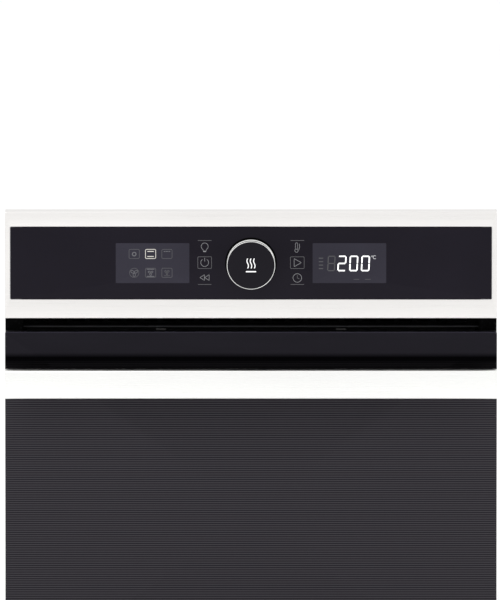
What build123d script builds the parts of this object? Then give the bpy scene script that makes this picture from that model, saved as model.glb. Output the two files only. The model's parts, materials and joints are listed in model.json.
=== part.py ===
"""Built-in electric oven, 600 mm class: casing, cavity, control panel, drop-down door and their fittings.

X runs across, Y from the front to the back, Z up. The solids are drawn with Y = 0 at the face of the
kitchen cabinet, and written with the origin under the middle of the whole oven, at its base.
"""
from build123d import *
from math import asin, cos, degrees, hypot, radians, tan
import os

# ---- Driving dimensions, in mm ----------------------------------------------------------------------
FRONT_W = 595.0  # width of the control panel, the door and the handle
FRONT_TOP = 595.0  # top of the control panel above the base
FRONT_Y = -22.0  # face of the control panel and of the door glass
HALF = FRONT_W / 2
PANEL_BOTTOM = 464.8
DOOR_TOP = 448.1
DOOR_BOTTOM = 8.0
DOOR_INNER_Y = 12.0  # face of the door's inner glass
SHEET = 1.0  # thickness of the casing's sheet metal

BODY_HALF = 278.0  # the part behind the cabinet's face, for a niche 560 wide
BODY_FRONT = 3.0  # where the side panels and the roof begin
BODY_BACK = 545.0
ROOF_FRONT = 585.0  # the roof falls towards the back
ROOF_BACK = 512.0
FRAME_TOP = 580.0
FRAME_Y = 16.0  # front of the frame plate that the door closes on
FRAME_HALF = 276.0
FLANGE_HALF = 293.0
EAR_HALF = 297.3  # the frame's ears behind the ends of the air gap
FIXING_X = 287.0
FIXING_Z = (120.0, 400.0)
FIXING_R = 2.3
RETURN_X = 271.0  # middle of the side panels' inner returns
SIDE_SCREW_Y = 10.0
SIDE_SCREW_Z = (60.0, 230.0, 400.0)
BACK_SCREW_Z = (40.0, 270.0, 495.0)
ROOF_SCREW_Y = (60.0, 500.0)  # measured down the roof from its front edge

CAVITY_HALF = 240.0
CAVITY_BOTTOM = 52.0
CAVITY_TOP = 408.0
CAVITY_Z = (CAVITY_BOTTOM + CAVITY_TOP) / 2
CAVITY_BACK = 427.0
CORNER = 22.0

LEVELS = (95.0, 155.0, 215.0, 275.0, 335.0)
RACK_PAIR = 16.0  # from a level's lower wire to its upper wire
RACK_X = 229.0
RACK_WIRE_R = 2.5
SHELF_LEVEL = LEVELS[3]
TRAY_LEVEL = LEVELS[1]
LOOSE = 0.3  # gap between parts that move on each other

PIVOT_Y = -13.0  # door hinge axis
PIVOT_Z = 16.0
PIN_R = 2.5
EYE_R = 4.6
HINGE_X = 260.1
ARM_T = 4.0
CHEEK_T = 2.0
CHANNEL_TOP = 150.0

PANE_T = 4.0  # every glass pane
MIDDLE_PANE = (500.0, 388.0)
MIDDLE_PANE_Y = -6.0
INNER_PANE = (528.0, 402.0)
PANE_Z = (236.0, 235.0)  # centres of the middle and the inner pane
STILE_IN = 264.6
STILE_STEP = 271.0
STILE_OUT = 296.5
RAIL_SLOTS = 10
BUFFER_X = (103.0, 115.0)
BUFFER_H = 1.2

KNOB_Z = 532.25
KNOB_R = 30.0
KNOB_FRONT = -43.0
RING_INNER_R = 27.8
RING_BACK = -35.0
SKIRT_R = 29.3
SKIRT_BACK = -24.9
COLLAR_R = 31.2
COLLAR_T = 2.3
BOSS_R = 15.0
STEM_R = 9.8
GLASS_H = 88.3
GLASS_HALF = 291.2
GLASS_FACE = -22.2
GLASS_BACK = -18.0
DISPLAY_IN = 74.5
DISPLAY_OUT = 163.5
DISPLAY_H = 48.7

HANDLE_Z = (372.6, 407.4)
HANDLE_Y = (-67.0, -51.0)
HANDLE_POST_X = 240.0
HANDLE_POST = (18.0, 26.0)
HANDLE_MID = sum(HANDLE_Z) / 2

COVER_FRONT = 384.0  # plate over the convection fan
COVER_W = 320.0
COVER_H = 290.0
COVER_Z = 230.0
COVER_SCREW_X = 140.0
COVER_SCREW_Z = (105.0, 355.0)
FAN_Z = 225.0
RING_R = 95.0
HEATER_R = 3.5
RING_HEATER_R = 3.25
FAN_BLADES = 10
FAN_R = 72.0
SHELF_HALF = 227.5
SHELF_Y = (30.0, 375.0)
SHELF_BARS = 17
TRAY_RIM = (460.0, 350.0)
TRAY_WELL = (430.0, 320.0)
TRAY_DEPTH = 28.0
TRAY_Y = 203.0
SHAFT_R = 4.0
LAMP_X = 200.0
LAMP_Z = 365.0
PROBE_X = -200.0
PROBE_Z = 370.0
GRILL_Z = 392.0
TERMINAL_X = 30.0
FLUE_Y = 200.0
FLUE_R = 13.5
DUCT_FLOOR = 440.0
DUCT_HALF = 230.0
DUCT_TOP = 466.0
BLOWER_Y = 425.0
BLOWER_Z = 480.0
BLOWER_R = 38.0
BLOWER_HALF = 180.0
BLOWER_BLADES = 20
OUTLET_SLOTS = 24
BOARD_Z = 474.0
BOARD_T = 1.6
CABLE_X = 225.0
CABLE_Z = 465.0
CABLE_R = 11.0
SWITCH_X = -219.0
SWITCH_Z = 427.0
PLUNGER_R = 2.5
SCREW_R = 1.95
SCREW_L = 6.0
HOLE_R = 2.05
HEAD_H = 2.4

ROOF_RUN = hypot(BODY_BACK - BODY_FRONT, ROOF_FRONT - ROOF_BACK)
ROOF_TILT = degrees(asin((ROOF_FRONT - ROOF_BACK) / ROOF_RUN))
SHIFT_Y = -(HANDLE_Y[0] + BODY_BACK + HEAD_H) / 2  # brings the origin under the middle of the oven


# ---- Shapes used many times -------------------------------------------------------------------------
def block(x0, x1, y0, y1, z0, z1):
    """Box between two corners."""
    return Pos((x0 + x1) / 2, (y0 + y1) / 2, (z0 + z1) / 2) * Box(x1 - x0, y1 - y0, z1 - z0)


def rod_x(y, z, r, x0, x1):
    return Pos((x0 + x1) / 2, y, z) * Rot(0, 90, 0) * Cylinder(r, x1 - x0)


def rod_y(x, z, r, y0, y1):
    return Pos(x, (y0 + y1) / 2, z) * Rot(90, 0, 0) * Cylinder(r, y1 - y0)


def rod_z(x, y, r, z0, z1):
    return Pos(x, y, (z0 + z1) / 2) * Cylinder(r, z1 - z0)


def slab(width, height, corner, x, z, y0, y1):
    """Plate that faces the front, with rounded corners, centred on x and z."""
    return Pos(x, y1, z) * Rot(90, 0, 0) * extrude(RectangleRounded(width, height, corner), y1 - y0)


def along_x(points, x0, x1):
    """Closed outline of (y, z) points, carried from x0 to x1."""
    outline = make_face(Polyline(*[(x0, y, z) for y, z in points], close=True))
    return extrude(outline, x1 - x0, dir=(1, 0, 0))


def along_z(points, z0, z1):
    """Closed outline of (x, y) points, carried from z0 to z1."""
    outline = make_face(Polyline(*[(x, y, z0) for x, y in points], close=True))
    return extrude(outline, z1 - z0, dir=(0, 0, 1))


def bent_wire(points, r, bend, close=False):
    """Round wire along straight runs with rounded bends."""
    path = FilletPolyline(*points, radius=bend, close=close)
    section = Plane(origin=path @ 0, z_dir=path % 0) * Circle(r)
    return sweep(section, path=path)


def mirrored(shape):
    """The same part for the other side of the oven."""
    return mirror(shape, about=Plane.YZ)


def both(shape):
    return shape + mirrored(shape)


def on_roof(shape):
    """Shape drawn on a level roof whose front edge is the X axis, brought to the sloping roof."""
    return Pos(0, BODY_FRONT, ROOF_FRONT) * Rot(-ROOF_TILT, 0, 0) * shape


def under_roof(y, depth):
    """Height at y of the plane that lies a depth below the roof's outer face."""
    slope = radians(ROOF_TILT)
    return ROOF_FRONT - (y - BODY_FRONT) * tan(slope) - depth / cos(slope)


# ---- Casing -----------------------------------------------------------------------------------------
def front_frame():
    """Pressed frame in one piece: cavity mouth, door recess, side flanges and upper posts."""
    plate = block(-FRAME_HALF, FRAME_HALF, FRAME_Y, FRAME_Y + SHEET, SHEET, 446)
    plate -= slab(2 * CAVITY_HALF, CAVITY_TOP - CAVITY_BOTTOM, CORNER, 0, CAVITY_Z, FRAME_Y - 1, FRAME_Y + 2)
    plate -= rod_y(SWITCH_X, SWITCH_Z, PLUNGER_R + 0.1, FRAME_Y - 1, FRAME_Y + 2)
    arm_half = ARM_T / 2
    plate -= both(block(HINGE_X - arm_half, HINGE_X + arm_half, 10, 20, PIVOT_Z - 5, PIVOT_Z + 5))
    wall = block(FRAME_HALF, FRAME_HALF + SHEET, -SHEET, FRAME_Y + SHEET, SHEET, 446)
    wall += block(FRAME_HALF, FRAME_HALF + SHEET, 0.5, FRAME_Y + SHEET, 446, FRAME_TOP)
    flange = block(FRAME_HALF + SHEET, FLANGE_HALF, -SHEET, 0, DOOR_BOTTOM, 446)
    flange += block(FRAME_HALF + SHEET, EAR_HALF, -SHEET, 0, 438, PANEL_BOTTOM - 0.5)
    wall += block(FRAME_HALF, FRAME_HALF + SHEET, -SHEET, 0.5, 446, PANEL_BOTTOM - 0.5)
    for z in FIXING_Z:
        flange -= rod_y(FIXING_X, z, FIXING_R, -3, 3)
    post = block(262, FRAME_HALF, FRAME_Y, FRAME_Y + SHEET, 446, FRAME_TOP)
    side = wall + flange + post
    for z in SIDE_SCREW_Z:
        side -= rod_x(SIDE_SCREW_Y, z, HOLE_R, 270, 280)
    beam = block(-262, 262, FRAME_Y, FRAME_Y + SHEET, FRAME_TOP - 23, FRAME_TOP)
    return plate + both(side) + beam


def side_panel():
    """Right side: flat sheet with returns for the roof and the back panel, and louvre slots."""
    inner = BODY_HALF - SHEET
    corners = [(BODY_FRONT, SHEET), (BODY_BACK, SHEET)]
    corners += [(y, under_roof(y, SHEET)) for y in (BODY_BACK, BODY_FRONT)]
    panel = along_x(corners, inner, BODY_HALF)
    rear = BODY_BACK - SHEET
    panel += block(265, inner, rear - SHEET, rear, SHEET, under_roof(rear, SHEET))
    panel += on_roof(block(265, inner, 21, ROOF_RUN - 2.5, -2 * SHEET, -SHEET))
    for z in SIDE_SCREW_Z:
        panel -= rod_x(SIDE_SCREW_Y, z, HOLE_R, 270, 280)
    for z in BACK_SCREW_Z:
        panel -= rod_y(RETURN_X, z, HOLE_R, 540, 546)
    for y in ROOF_SCREW_Y:
        panel -= on_roof(rod_z(RETURN_X, y, HOLE_R, -5, 1))
    for i in range(8):
        y = 300 + 24 * i
        panel -= block(270, 280, y, y + 6, 450, 500)
    return panel


def top_cover():
    cover = block(-BODY_HALF, BODY_HALF, 0, ROOF_RUN, -SHEET, 0)
    for y in ROOF_SCREW_Y:
        cover -= rod_z(-RETURN_X, y, HOLE_R, -5, 1)
        cover -= rod_z(RETURN_X, y, HOLE_R, -5, 1)
    return on_roof(cover)


def back_panel():
    edge = BODY_HALF - SHEET
    panel = block(-edge, edge, BODY_BACK - SHEET, BODY_BACK, SHEET, under_roof(BODY_BACK, SHEET))
    for z in BACK_SCREW_Z:
        for x in (-RETURN_X, RETURN_X):
            panel -= rod_y(x, z, HOLE_R, 540, 550)
    panel -= rod_y(CABLE_X, CABLE_Z, CABLE_R, 540, 550)
    for i in range(10):
        z = 180 + 12 * i
        panel -= block(-60, 60, 540, 550, z, z + 5)
    for i in range(12):
        x = -220 + 36 * i
        panel -= block(x - 12, x + 12, 540, 550, 480, 485)
    return panel


def base_panel():
    return block(-BODY_HALF, BODY_HALF, FRAME_Y, BODY_BACK, 0, SHEET)


def pan_screw():
    """Pan-head screw that points down, with the underside of its head at the origin."""
    head = Pos(0, 0, HEAD_H / 2) * Cylinder(4, HEAD_H)
    head = fillet(head.edges().group_by(Axis.Z)[-1], 1.0)
    head -= Pos(0, 0, 2.0) * Box(4.4, 1.0, 1.4)
    head -= Pos(0, 0, 2.0) * Box(1.0, 4.4, 1.4)
    return head + Pos(0, 0, -SCREW_L / 2) * Cylinder(SCREW_R, SCREW_L)


def cover_screws():
    """All the equal pan-head screws of the casing's panels and of the fan cover, as separate solids."""
    placed = []
    for side in (-1, 1):
        edge = side * RETURN_X
        for z in SIDE_SCREW_Z:
            placed.append(Pos(side * BODY_HALF, SIDE_SCREW_Y, z) * Rot(0, 90 * side, 0) * pan_screw())
        placed += [Pos(edge, BODY_BACK, z) * Rot(-90, 0, 0) * pan_screw() for z in BACK_SCREW_Z]
        placed += [on_roof(Pos(edge, y, 0) * pan_screw()) for y in ROOF_SCREW_Y]
        x = side * COVER_SCREW_X
        placed += [Pos(x, COVER_FRONT, z) * Rot(90, 0, 0) * pan_screw() for z in COVER_SCREW_Z]
    return Compound(children=placed)


def partition_plate():
    plate = block(-FRAME_HALF, FRAME_HALF, FRAME_Y + SHEET, 543, DUCT_FLOOR, DUCT_FLOOR + SHEET)
    return plate - rod_z(0, FLUE_Y, FLUE_R + 0.1, 430, 450)


# ---- Cavity -----------------------------------------------------------------------------------------
def lead_holes(x, z, r):
    """Cutter for a heater's two leads through the cavity's back wall."""
    return rod_y(x, z, r, 420, 440) + rod_y(-x, z, r, 420, 440)


def ring_lead_z():
    return FAN_Z + (RING_R**2 - 12**2) ** 0.5


def cavity_liner():
    height = CAVITY_TOP - CAVITY_BOTTOM
    back = CAVITY_BACK + SHEET
    liner = slab(2 * CAVITY_HALF + 2, height + 2, CORNER + 1, 0, CAVITY_Z, FRAME_Y + SHEET, back)
    liner -= slab(2 * CAVITY_HALF, height, CORNER, 0, CAVITY_Z, FRAME_Y, CAVITY_BACK)
    liner -= rod_y(0, FAN_Z, 9, 420, 440)
    liner -= rod_y(LAMP_X, LAMP_Z, 24, 420, 440)
    liner -= rod_y(PROBE_X, PROBE_Z, 2.6, 420, 440)
    liner -= lead_holes(TERMINAL_X, GRILL_Z, 3.6)
    liner -= lead_holes(12, ring_lead_z(), 3.4)
    return liner - rod_z(0, FLUE_Y, FLUE_R + 0.1, 400, 415)


def insulation():
    """Glass-wool blanket round the cavity, with cut-outs for what passes through it."""
    wool = slab(540, 416, 40, 0, CAVITY_Z, 19, 458)
    wool -= slab(2 * CAVITY_HALF + 4, CAVITY_TOP - CAVITY_BOTTOM + 4, CORNER + 2, 0, CAVITY_Z, 18, 430)
    wool -= block(-200, 200, 30, 420, 36, 60)
    wool -= block(-40, 40, 400, 460, 36, 52)
    wool -= rod_y(0, FAN_Z, 20, 425, 460)
    wool -= rod_y(LAMP_X, LAMP_Z, 32, 425, 460)
    wool -= rod_y(PROBE_X, PROBE_Z, 12, 425, 460)
    wool -= block(-45, 45, 425, 460, GRILL_Z - 15, GRILL_Z + 15)
    wool -= block(SWITCH_X - 14, SWITCH_X + 14, 18, 50, SWITCH_Z - 14, 440)
    wool -= block(-20, 20, 425, 460, 300, 340)
    return wool - rod_z(0, FLUE_Y, 20, 400, 440)


def door_seal():
    """Round rubber cord round the cavity's mouth."""
    corners = [(250, 188), (250, -188), (-250, -188), (-250, 188)]
    points = [(x, 14.15, CAVITY_Z + z) for x, z in corners]
    return bent_wire(points, 1.85, 30, close=True)


def rack_guide():
    """Right side rack: two uprights, pegs to the wall and a pair of rails at each level."""
    rack = rod_z(234, 60, 3, 85, 365) + rod_z(234, 365, 3, 85, 365)
    for y in (60, 365):
        for z in (110, 350):
            rack += rod_x(y, z, 3, 234, CAVITY_HALF)
    for level in LEVELS:
        for z in (level, level + RACK_PAIR):
            rack += rod_y(RACK_X, z, RACK_WIRE_R, 40, 380)
    return rack


def grill_element():
    """Tube heater in three loops under the cavity's roof, with two leads through the back wall."""
    half = [(205, 385), (205, 60), (150, 60), (150, 330), (95, 330), (95, 60), (40, 60), (40, 330)]
    points = [(-TERMINAL_X, 445), (-TERMINAL_X, 385)]
    points += [(-x, y) for x, y in half]
    points += [(x, y) for x, y in reversed(half)]
    points += [(TERMINAL_X, 385), (TERMINAL_X, 445)]
    return bent_wire([(x, y, GRILL_Z) for x, y in points], HEATER_R, 18)


def bottom_element():
    """Tube heater under the cavity's floor."""
    half = [(180, 400), (180, 50), (60, 50), (60, 340)]
    points = [(-25, 470), (-25, 400)]
    points += [(-x, y) for x, y in half]
    points += [(x, y) for x, y in reversed(half)]
    points += [(25, 400), (25, 470)]
    return bent_wire([(x, y, 43.5) for x, y in points], HEATER_R, 17)


def ring_element():
    ring = Pos(0, 407, FAN_Z) * Rot(90, 0, 0) * Torus(RING_R, RING_HEATER_R)
    for x in (-12, 12):
        ring += rod_y(x, ring_lead_z(), RING_HEATER_R, 407, 445)
    return ring


def fan_cover():
    """Pressed baffle in front of the fan: intake slots in the middle, outlets in its side walls."""
    cover = slab(COVER_W, COVER_H, 20, 0, COVER_Z, COVER_FRONT, CAVITY_BACK - 0.1)
    cover -= slab(COVER_W - 2, COVER_H - 2, 19, 0, COVER_Z, COVER_FRONT + SHEET, CAVITY_BACK + 1)
    slot = Pos(0, COVER_FRONT, 42) * Box(6, 8, 30)
    for i in range(16):
        cover -= Pos(0, 0, FAN_Z) * Rot(0, 360 / 16 * i, 0) * slot
    for i in range(5):
        z = 130 + 44 * i
        cover -= both(block(155, 165, 394, 418, z, z + 24))
    for z in COVER_SCREW_Z:
        cover -= both(rod_y(COVER_SCREW_X, z, HOLE_R, 380, 390))
    return cover


def fan_motor():
    """Shaded-pole motor on its bracket behind the cavity."""
    motor = block(-60, 60, 459, 461, FAN_Z - 45, FAN_Z + 45)
    motor += block(-35, 35, 461, 497, FAN_Z - 30, FAN_Z + 30)
    motor += rod_y(0, FAN_Z, 12, 497, 503)
    return motor - rod_y(0, FAN_Z, SHAFT_R + 0.05, 450, 510)


def fan_shaft():
    """Motor shaft with the nut that holds the fan."""
    nut = Pos(0, 394, FAN_Z) * Rot(90, 0, 0) * extrude(RegularPolygon(7, 6), 6)
    return rod_y(0, FAN_Z, SHAFT_R, 390, 508) + nut


def convection_fan():
    """Back disc with ten blades and a hub."""
    fan = rod_y(0, 0, FAN_R, 418, 419.5)
    fan += rod_y(0, 0, 9, 394, 420)
    blade = block(-0.6, 0.6, 396, 418.5, 34, FAN_R - 1)
    for i in range(FAN_BLADES):
        fan += Rot(0, 360 / FAN_BLADES * i, 0) * blade
    fan -= rod_y(0, 0, SHAFT_R + 0.02, 390, 425)
    return Pos(0, 0, FAN_Z) * fan


def lamp_holder():
    holder = rod_y(LAMP_X, LAMP_Z, 30, CAVITY_BACK + SHEET, CAVITY_BACK + 2.6)
    holder += rod_y(LAMP_X, LAMP_Z, 19, CAVITY_BACK + 2.6, 472)
    holder -= rod_y(LAMP_X, LAMP_Z, 17, 420, 460)
    return holder + block(LAMP_X - 8, LAMP_X + 8, 470, 484, LAMP_Z - 3, LAMP_Z + 3)


def lamp_glass():
    """Domed lens in the cavity's back wall."""
    lens = rod_y(LAMP_X, LAMP_Z, 23.5, 424, CAVITY_BACK + SHEET)
    dome = Pos(LAMP_X, 446, LAMP_Z) * Sphere(31)
    return lens + (dome & rod_y(LAMP_X, LAMP_Z, 21.4, 410, 425))


def temperature_probe():
    probe = rod_y(PROBE_X, PROBE_Z, 2.5, 375, 445)
    return probe + rod_y(PROBE_X, PROBE_Z, 9, CAVITY_BACK + SHEET, CAVITY_BACK + 2.5)


def vent_flue():
    return rod_z(0, FLUE_Y, FLUE_R, 407, 447) - rod_z(0, FLUE_Y, FLUE_R - 1.5, 400, 450)


# ---- Upper compartment ------------------------------------------------------------------------------
def air_duct():
    duct = block(-DUCT_HALF, DUCT_HALF, FRAME_Y + SHEET, 386.5, DUCT_FLOOR + SHEET, DUCT_TOP)
    return duct - block(-DUCT_HALF + 1, DUCT_HALF - 1, 10, 390, DUCT_FLOOR, DUCT_TOP - 1)


def air_outlet_grille():
    """Slotted strip across the gap between the control panel and the door."""
    strip = block(-275.5, 275.5, 13.5, 15, 446.5, 470)
    strip += block(-275.5, 275.5, 8, 13.5, 453, 454)
    for i in range(OUTLET_SLOTS):
        x = 22 * (i - (OUTLET_SLOTS - 1) / 2)
        strip -= block(x - 8, x + 8, 10, 20, 456, 464)
    return strip + both(block(266, 275.5, 15, FRAME_Y, 447, 469))


def blower_housing():
    """Scroll of a cross-flow blower, open to the duct in front and to the compartment above."""
    half = BLOWER_HALF
    scroll = rod_x(BLOWER_Y, BLOWER_Z, BLOWER_R, -half, half)
    scroll -= rod_x(BLOWER_Y, BLOWER_Z, BLOWER_R - SHEET, -half - 1, half + 1)
    scroll -= block(-179, 179, 380, 424, 443.2, 466)
    scroll -= block(-179, 179, 432, 470, 492, 520)
    end = block(half, half + SHEET, 388, 462, DUCT_FLOOR + SHEET, 517)
    scroll += both(end)
    return scroll - rod_x(BLOWER_Y, BLOWER_Z, 3.05, -190, 190)


def blower_impeller():
    """Drum of thin blades between two end discs, on a shaft."""
    drum = rod_x(0, 0, 3, -186, 222)
    for x in (-175, -1, 173):
        drum += rod_x(0, 0, 34, x, x + 2)
    blade = block(-174, 174, -0.6, 0.6, 27, 33.5)
    for i in range(BLOWER_BLADES):
        drum += Rot(360 / BLOWER_BLADES * i, 0, 0) * blade
    return Pos(0, BLOWER_Y, BLOWER_Z) * drum


def blower_motor():
    motor = block(188, 220, BLOWER_Y - 25, BLOWER_Y + 25, BLOWER_Z - 25, BLOWER_Z + 25)
    motor += block(184, 188, BLOWER_Y - 20, BLOWER_Y + 20, DUCT_FLOOR + SHEET, BLOWER_Z + 20)
    return motor - rod_x(BLOWER_Y, BLOWER_Z, 3.05, 180, 230)


def power_board():
    """Relay board on four posts over the air duct."""
    face = BOARD_Z + BOARD_T
    board = block(-225, -65, 60, 220, BOARD_Z, face)
    for x in (-217, -73):
        for y in (68, 212):
            board += rod_z(x, y, 3, DUCT_TOP, BOARD_Z)
    for i in range(4):
        board += block(-215 + 36 * i, -190 + 36 * i, 80, 96, face, face + 15.4)
    board += block(-200, -160, 130, 170, face, face + 29.4)
    return board + rod_z(-110, 150, 11, face, face + 24.4)


def terminal_block():
    """Five-way mains terminal on a foot, inside the back panel."""
    bottom = CABLE_Z + 19
    base = block(185, 265, 500, 540, bottom, bottom + 18)
    for i in range(5):
        base -= rod_z(195 + 15 * i, 520, 4.5, bottom + 10, bottom + 20)
    return base + block(185, 188, 520, BODY_BACK - SHEET, bottom - 10, bottom)


def safety_thermostat():
    stat = rod_z(-250, 300, 10, DUCT_FLOOR + SHEET, 453)
    return stat + block(-268, -232, 294, 306, DUCT_FLOOR + SHEET, 442.4)


def door_switch():
    body = block(SWITCH_X - 10, SWITCH_X + 10, FRAME_Y + SHEET, 19, SWITCH_Z - 10, SWITCH_Z + 8)
    body += rod_y(SWITCH_X, SWITCH_Z, 7, 19, 19 + 26)
    return body - rod_y(SWITCH_X, SWITCH_Z, PLUNGER_R + 0.05, 10, 42)


def switch_plunger():
    plunger = rod_y(SWITCH_X, SWITCH_Z, PLUNGER_R, DOOR_INNER_Y + LOOSE, 38)
    return fillet(plunger.edges().group_by(Axis.Y)[0], 1.2)


# ---- Control panel ----------------------------------------------------------------------------------
def fascia_panel():
    """Folded stainless front with the opening for the control glass, and two legs to the frame."""
    height = FRONT_TOP - PANEL_BOTTOM
    middle = (FRONT_TOP + PANEL_BOTTOM) / 2
    shell = block(-HALF, HALF, FRONT_Y, 0, PANEL_BOTTOM, FRONT_TOP)
    shell = fillet(shell.edges().filter_by(Axis.X).group_by(Axis.Y)[0], 1.0)
    shell -= Pos(0, 0, middle) * Box(FRONT_W - 2.4, 41.6, height - 2.4)
    shell -= slab(2 * GLASS_HALF + 0.4, GLASS_H + 0.4, 1.4, 0, KNOB_Z, -30, -10)
    leg = block(268, 269.2, -17.5, 0, PANEL_BOTTOM + 1, FRONT_TOP - 1)
    leg += block(268, 269.2, 0, FRAME_Y, 472, FRAME_TOP)
    return shell + both(leg)


def control_glass():
    glass = slab(2 * GLASS_HALF, GLASS_H, 1.2, 0, KNOB_Z, GLASS_FACE, GLASS_BACK)
    return glass - rod_y(0, KNOB_Z, 10, -30, -10)


def display(x0, x1):
    return block(x0, x1, GLASS_BACK, -14, KNOB_Z - DISPLAY_H / 2, KNOB_Z + DISPLAY_H / 2)


def control_board():
    """Board behind the displays, with the knob's sensor in its middle and its carrier's edges."""
    board = block(-262, 262, -14, -12.4, 495, 570)
    for x in (-262, 260):
        board += block(x, x + 2, GLASS_BACK, -14, 495, 570)
    board += block(-60, 60, -12.4, -6, 510, 550)
    return board


def knob_collar():
    """Fixed magnetic seat of the knob: a flat disc on the glass, its spigot and the stem behind."""
    seat = rod_y(0, KNOB_Z, COLLAR_R, GLASS_FACE - COLLAR_T, GLASS_FACE)
    seat = fillet(seat.edges().group_by(Axis.Y)[0], 0.8)
    seat += rod_y(0, KNOB_Z, BOSS_R, -37.5, GLASS_FACE - COLLAR_T)
    return seat + rod_y(0, KNOB_Z, STEM_R, GLASS_FACE, -14)


def knob_ring():
    ring = rod_y(0, KNOB_Z, KNOB_R, KNOB_FRONT, RING_BACK)
    ring -= rod_y(0, KNOB_Z, RING_INNER_R, KNOB_FRONT - 1, RING_BACK + 1)
    return fillet(ring.edges().group_by(Axis.Y)[0], 0.6)


def knob_cap():
    """Black disc and skirt in one, with the bore that turns on the fixed spigot."""
    cap = rod_y(0, KNOB_Z, RING_INNER_R - 0.1, KNOB_FRONT + 0.6, RING_BACK)
    cap += rod_y(0, KNOB_Z, SKIRT_R, RING_BACK, SKIRT_BACK)
    return cap - rod_y(0, KNOB_Z, BOSS_R + 0.05, -38, -20)


# ---- Hinges -----------------------------------------------------------------------------------------
def hinge_arm():
    """Right arm, hooked in the frame plate's slot; the door turns on its eye."""
    x0, x1 = HINGE_X - ARM_T / 2, HINGE_X + ARM_T / 2
    arm = rod_x(PIVOT_Y, PIVOT_Z, EYE_R, x0, x1)
    arm += block(x0, x1, PIVOT_Y, 90, PIVOT_Z - EYE_R, PIVOT_Z + EYE_R)
    arm += block(x0, x1, FRAME_Y + SHEET, 34, 5, PIVOT_Z)
    return arm - rod_x(PIVOT_Y, PIVOT_Z, PIN_R + 0.05, x0 - 1, x1 + 1)


def hinge_channel():
    """Right channel in the door: two cheeks, the web between them and the hinge pin."""
    inner, outer = HINGE_X - ARM_T / 2 - 0.5, HINGE_X + ARM_T / 2 + 0.5
    channel = block(inner - CHEEK_T, inner, -17.5, 7, 9, CHANNEL_TOP)
    channel += block(outer, outer + CHEEK_T, -17.5, 7, 9, CHANNEL_TOP)
    channel += block(inner, outer, -17.5, -16, 26, CHANNEL_TOP)
    return channel + rod_x(PIVOT_Y, PIVOT_Z, PIN_R, inner - CHEEK_T, outer + CHEEK_T)


# ---- Door -------------------------------------------------------------------------------------------
def door_outer_glass():
    middle = (DOOR_TOP + DOOR_BOTTOM) / 2
    glass = slab(FRONT_W, DOOR_TOP - DOOR_BOTTOM, 1.5, 0, middle, FRONT_Y, FRONT_Y + PANE_T)
    return glass - both(rod_y(HANDLE_POST_X, HANDLE_MID, 6, -30, -10))


def door_middle_glass():
    return slab(*MIDDLE_PANE, 3, 0, PANE_Z[0], MIDDLE_PANE_Y, MIDDLE_PANE_Y + PANE_T)


def door_inner_glass():
    return slab(*INNER_PANE, 3, 0, PANE_Z[1], DOOR_INNER_Y - PANE_T, DOOR_INNER_Y)


def door_stile():
    """Right side profile: a wide bar behind the outer glass and a rib that reaches into the recess."""
    bar = block(STILE_IN, STILE_OUT, FRONT_Y + PANE_T, -5, DOOR_BOTTOM, DOOR_TOP)
    return bar + block(STILE_IN, STILE_STEP, -5, DOOR_INNER_Y, DOOR_BOTTOM, DOOR_TOP)


def door_top_rail():
    """Top profile with the groove of the middle glass and a row of air slots."""
    outline = [(-18, 437), (-8, 437), (-8, 426), (-6.2, 426), (-6.2, 430.5), (-1.8, 430.5), (-1.8, 426)]
    outline += [(0, 426), (0, 437), (DOOR_INNER_Y, 437), (DOOR_INNER_Y, DOOR_TOP), (-18, DOOR_TOP)]
    rail = along_x(outline, -STILE_IN, STILE_IN)
    rail -= both(block(255.5, 270, -10, 2, 420, 437))
    for i in range(RAIL_SLOTS):
        x = 48 * (i - (RAIL_SLOTS - 1) / 2)
        rail -= block(x - 16, x + 16, 3, 7, DOOR_TOP - 6, DOOR_TOP + 1)
    return rail


def door_bottom_rail():
    """Bottom profile, hollow, with the middle glass's groove."""
    outline = [(-18, 8), (DOOR_INNER_Y, 8), (DOOR_INNER_Y, 33.7), (0, 33.7), (0, 46), (-1.8, 46)]
    outline += [(-1.8, 41.8), (-6.2, 41.8), (-6.2, 46), (-8, 46), (-8, 33.7), (-18, 33.7)]
    rail = along_x(outline, -254, 254)
    return rail - block(-260, 260, -16, 10, 10, 31.7)


def door_buffers():
    """Two small pads on the door's top edge."""
    return both(block(*BUFFER_X, -2, 3, DOOR_TOP, DOOR_TOP + BUFFER_H))


# ---- Handle -----------------------------------------------------------------------------------------
def handle_bar():
    bar = block(-HALF, HALF, HANDLE_Y[0], HANDLE_Y[1], HANDLE_Z[0], HANDLE_Z[1])
    bar = fillet(bar.edges().filter_by(Axis.X), 2.0)
    return bar - both(rod_y(HANDLE_POST_X, HANDLE_MID, 2.5, -58, -40))


def handle_mount():
    """Right post between the handle and the door's glass, on a sleeve through the glass."""
    post = slab(*HANDLE_POST, 5, HANDLE_POST_X, HANDLE_MID, HANDLE_Y[1], FRONT_Y)
    post += rod_y(HANDLE_POST_X, HANDLE_MID, 5.8, FRONT_Y, FRONT_Y + PANE_T)
    return post - rod_y(HANDLE_POST_X, HANDLE_MID, 2.6, -60, -10)


def handle_screws():
    """Two socket-head screws from inside the door, through the glass and the posts."""
    screws = []
    face = FRONT_Y + PANE_T
    for x in (-HANDLE_POST_X, HANDLE_POST_X):
        head = rod_y(x, HANDLE_MID, 7, face, face + 3)
        head -= Pos(x, face + 3, HANDLE_MID) * Rot(90, 0, 0) * extrude(RegularPolygon(2.2, 6), 2)
        screws.append(head + rod_y(x, HANDLE_MID, 2.4, -57, face))
    return Compound(children=screws)


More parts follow.
